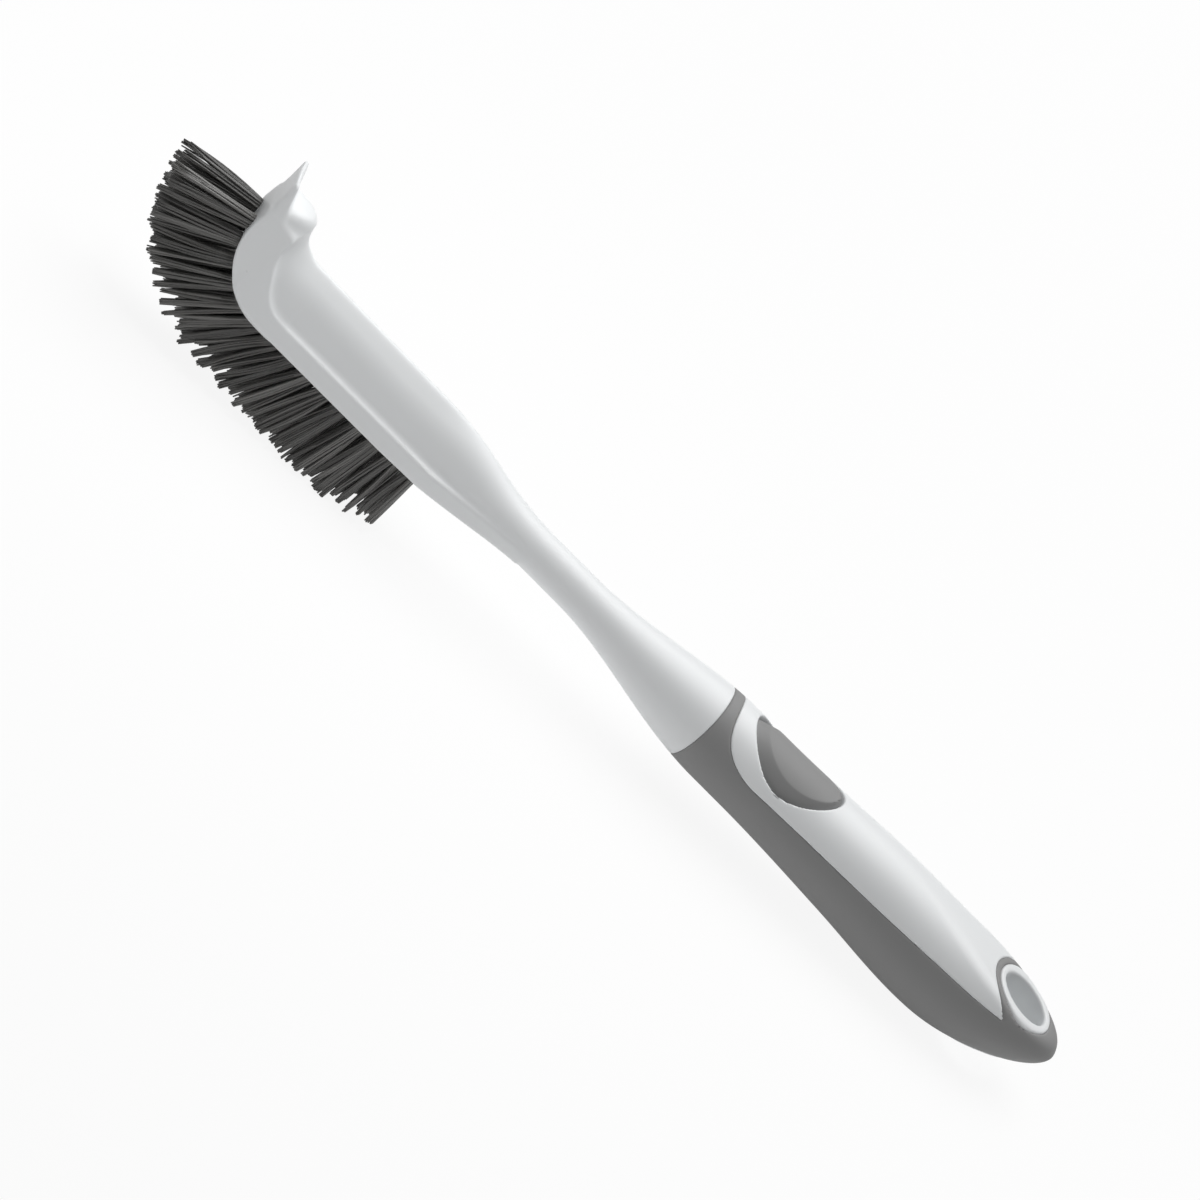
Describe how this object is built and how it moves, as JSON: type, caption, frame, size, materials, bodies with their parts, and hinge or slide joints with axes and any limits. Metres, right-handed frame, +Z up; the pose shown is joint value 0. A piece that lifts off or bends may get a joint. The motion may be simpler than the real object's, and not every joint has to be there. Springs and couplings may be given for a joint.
{
  "type": "crevice brush",
  "caption": "Long-handled cleaning brush with a curled narrow head, dense bristles, a scraper edge at the toe, a soft grip with a thumb pad and a hanging eye.",
  "frame": {"origin": "Middle of the part's box, on the table that it rests on", "axes": "+X runs from the toe of the head to the tail of the grip, +Y across the handle, +Z up"},
  "size_m": [0.286, 0.0258, 0.0538],
  "materials": {
    "white_plastic": "smooth glossy moulded white polypropylene",
    "soft_grip": "matte soft grey elastomer",
    "bristle": "dark grey filament",
    "anchor_wire": "flat wire"
  },
  "bodies": {
    "root": {"handle_core": "white_plastic", "grip": "soft_grip", "thumb_pad": "soft_grip", "tuft_anchors": "anchor_wire", "near_tuft_1": "bristle", "near_tuft_2": "bristle", "near_tuft_3": "bristle", "near_tuft_4": "bristle", "near_tuft_5": "bristle", "near_tuft_6": "bristle", "near_tuft_7": "bristle", "near_tuft_8": "bristle", "near_tuft_9": "bristle", "near_tuft_10": "bristle", "near_tuft_11": "bristle", "near_tuft_12": "bristle", "near_tuft_13": "bristle", "near_tuft_14": "bristle", "near_tuft_15": "bristle", "middle_tuft_1": "bristle", "middle_tuft_2": "bristle", "middle_tuft_3": "bristle", "middle_tuft_4": "bristle", "middle_tuft_5": "bristle", "middle_tuft_6": "bristle", "middle_tuft_7": "bristle", "middle_tuft_8": "bristle", "middle_tuft_9": "bristle", "middle_tuft_10": "bristle", "middle_tuft_11": "bristle", "middle_tuft_12": "bristle", "middle_tuft_13": "bristle", "middle_tuft_14": "bristle", "far_tuft_1": "bristle", "far_tuft_2": "bristle", "far_tuft_3": "bristle", "far_tuft_4": "bristle", "far_tuft_5": "bristle", "far_tuft_6": "bristle", "far_tuft_7": "bristle", "far_tuft_8": "bristle", "far_tuft_9": "bristle", "far_tuft_10": "bristle", "far_tuft_11": "bristle", "far_tuft_12": "bristle", "far_tuft_13": "bristle", "far_tuft_14": "bristle", "far_tuft_15": "bristle"}
  },
  "joints": []
}
